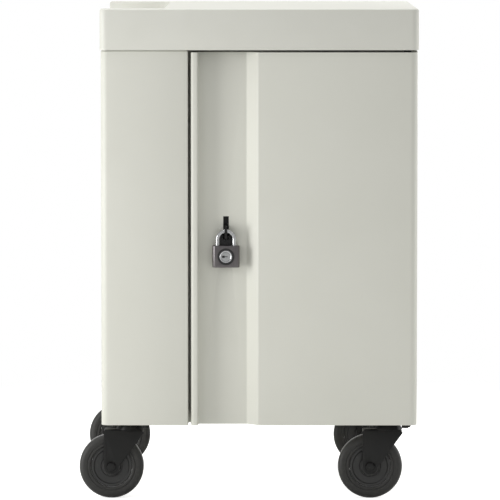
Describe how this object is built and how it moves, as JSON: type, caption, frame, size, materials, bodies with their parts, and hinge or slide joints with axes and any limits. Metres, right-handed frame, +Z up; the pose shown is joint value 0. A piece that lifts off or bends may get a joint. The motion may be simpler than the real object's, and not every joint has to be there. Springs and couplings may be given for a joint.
{
  "type": "laptop charging cart",
  "caption": "Wheeled steel cabinet that stores and charges laptops on edge, with a moulded top, a padlock in the front door's recessed channel, a rear service door and swivel casters.",
  "frame": {"origin": "on the floor, under the middle of the cabinet and of its moulded top", "axes": "+Z up from the floor, -Y out through the front door, +X to the right as seen from the front"},
  "size_m": [0.6658, 0.68, 0.966],
  "materials": {
    "moulded_top": "fine moulded texture",
    "cabinet_paint": "pale warm grey powder coat",
    "rack_plastic": "moulded grey",
    "black_plastic": "moulded black",
    "black_steel": "black coating",
    "plated_steel": "zinc plated",
    "padlock_steel": "satin",
    "soft_rubber": "matt",
    "wheel_plastic": "moulded dark grey",
    "wheel_tyre": "matt tread"
  },
  "bodies": {
    "cabinet": {"top_cover": "moulded_top", "base_pan": "cabinet_paint", "deck_pan": "cabinet_paint", "latch_keeper": "cabinet_paint", "left_shell": "cabinet_paint", "right_shell": "cabinet_paint", "side_partition": "cabinet_paint", "rear_partition": "cabinet_paint", "device_shelf": "cabinet_paint", "adapter_shelf": "cabinet_paint", "rear_frame": "cabinet_paint", "lower_rack": "rack_plastic", "upper_rack": "rack_plastic", "lower_power_strip": "black_plastic", "upper_power_strip": "black_plastic", "power_inlet": "black_plastic", "lower_hinge_bracket": "black_steel", "upper_hinge_bracket": "black_steel", "lower_hinge_pin": "black_steel", "upper_hinge_pin": "black_steel", "rear_lower_pin": "plated_steel", "rear_upper_pin": "plated_steel", "lower_bumper": "soft_rubber", "upper_bumper": "soft_rubber", "front_left_caster_plate": "black_steel", "front_right_caster_plate": "black_steel", "rear_left_caster_plate": "black_steel", "rear_right_caster_plate": "black_steel"},
    "front_door": {"door_skin": "cabinet_paint", "door_liner": "cabinet_paint", "lock_bezel": "black_plastic", "latch_case": "rack_plastic", "upper_rod_guide": "rack_plastic", "lower_rod_guide": "rack_plastic"},
    "latch_slide": {"latch_handle": "black_steel", "upper_bolt": "plated_steel"},
    "lower_bolt_bar": {"lower_bolt": "plated_steel"},
    "latch_gear": {"latch_pinion": "plated_steel"},
    "padlock_bow": {"padlock_shackle": "padlock_steel"},
    "padlock_case": {"padlock_body": "padlock_steel"},
    "padlock_plug": {"padlock_cylinder": "padlock_steel"},
    "rear_door_leaf": {"rear_door": "cabinet_paint"},
    "rear_cam_lock": {"rear_lock": "plated_steel"},
    "power_rocker": {"power_switch": "black_plastic"},
    "front_left_swivel": {"front_left_fork": "black_steel", "front_left_axle": "black_steel"},
    "front_left_wheel": {"front_left_hub": "wheel_plastic", "front_left_tyre": "wheel_tyre"},
    "front_right_swivel": {"front_right_fork": "black_steel", "front_right_axle": "black_steel"},
    "front_right_wheel": {"front_right_hub": "wheel_plastic", "front_right_tyre": "wheel_tyre"},
    "rear_left_swivel": {"rear_left_fork": "black_steel", "rear_left_axle": "black_steel"},
    "rear_left_wheel": {"rear_left_hub": "wheel_plastic", "rear_left_tyre": "wheel_tyre"},
    "rear_right_swivel": {"rear_right_fork": "black_steel", "rear_right_axle": "black_steel"},
    "rear_right_wheel": {"rear_right_hub": "wheel_plastic", "rear_right_tyre": "wheel_tyre"}
  },
  "joints": [
    {"name": "front_door_swing", "type": "hinge", "parent": "cabinet", "child": "front_door", "pos_m": [0.2905, -0.323, 0.5], "axis": [0, 0, 1], "range_deg": [0, 180]},
    {"name": "latch_lift", "type": "slide", "parent": "front_door", "child": "latch_slide", "axis": [0, 0, 1], "range_m": [0, 0.016]},
    {"name": "lower_bolt_slide", "type": "slide", "parent": "front_door", "child": "lower_bolt_bar", "axis": [0, 0, 1], "range_m": [-0.016, 0]},
    {"name": "pinion_turn", "type": "hinge", "parent": "front_door", "child": "latch_gear", "pos_m": [-0.065, -0.29374, 0.468], "axis": [0, 1, 0], "range_deg": [0, 102]},
    {"name": "padlock_swing", "type": "hinge", "parent": "latch_slide", "child": "padlock_bow", "pos_m": [-0.065, -0.3278, 0.532], "axis": [-1, 0, 0], "range_deg": [0, 85]},
    {"name": "padlock_release", "type": "slide", "parent": "padlock_bow", "child": "padlock_case", "axis": [0, 0, -1], "range_m": [0, 0.012]},
    {"name": "key_turn", "type": "hinge", "parent": "padlock_case", "child": "padlock_plug", "pos_m": [-0.065, -0.3383, 0.48275], "axis": [0, -1, 0], "range_deg": [0, 90]},
    {"name": "rear_door_swing", "type": "hinge", "parent": "cabinet", "child": "rear_door_leaf", "pos_m": [0.258, 0.3267, 0.54], "axis": [0, 0, -1], "range_deg": [0, 115]},
    {"name": "rear_lock_turn", "type": "hinge", "parent": "rear_door_leaf", "child": "rear_cam_lock", "pos_m": [-0.256, 0.33, 0.5399], "axis": [0, -1, 0], "range_deg": [0, 90]},
    {"name": "power_switch_rock", "type": "hinge", "parent": "cabinet", "child": "power_rocker", "pos_m": [-0.172, 0.338, 0.1989], "axis": [-1, 0, 0], "range_deg": [0, 16]},
    {"name": "front_left_swivel_turn", "type": "hinge", "parent": "cabinet", "child": "front_left_swivel", "pos_m": [-0.255, -0.265, 0.14], "axis": [0, 0, 1], "continuous": true},
    {"name": "front_left_wheel_spin", "type": "hinge", "parent": "front_left_swivel", "child": "front_left_wheel", "pos_m": [-0.2913, -0.265, 0.0635], "axis": [0, 1, 0], "continuous": true},
    {"name": "front_right_swivel_turn", "type": "hinge", "parent": "cabinet", "child": "front_right_swivel", "pos_m": [0.255, -0.265, 0.14], "axis": [0, 0, 1], "continuous": true},
    {"name": "front_right_wheel_spin", "type": "hinge", "parent": "front_right_swivel", "child": "front_right_wheel", "pos_m": [0.2187, -0.265, 0.0635], "axis": [0, 1, 0], "continuous": true},
    {"name": "rear_left_swivel_turn", "type": "hinge", "parent": "cabinet", "child": "rear_left_swivel", "pos_m": [-0.255, 0.265, 0.14], "axis": [0, 0, 1], "continuous": true},
    {"name": "rear_left_wheel_spin", "type": "hinge", "parent": "rear_left_swivel", "child": "rear_left_wheel", "pos_m": [-0.2913, 0.265, 0.0635], "axis": [0, 1, 0], "continuous": true},
    {"name": "rear_right_swivel_turn", "type": "hinge", "parent": "cabinet", "child": "rear_right_swivel", "pos_m": [0.255, 0.265, 0.14], "axis": [0, 0, 1], "continuous": true},
    {"name": "rear_right_wheel_spin", "type": "hinge", "parent": "rear_right_swivel", "child": "rear_right_wheel", "pos_m": [0.2187, 0.265, 0.0635], "axis": [0, 1, 0], "continuous": true}
  ],
  "couplings": [
    {"joint": "lower_bolt_slide", "follows": "latch_lift", "ratio": -1},
    {"joint": "pinion_turn", "follows": "latch_lift", "rad_per_m": 111.11}
  ]
}
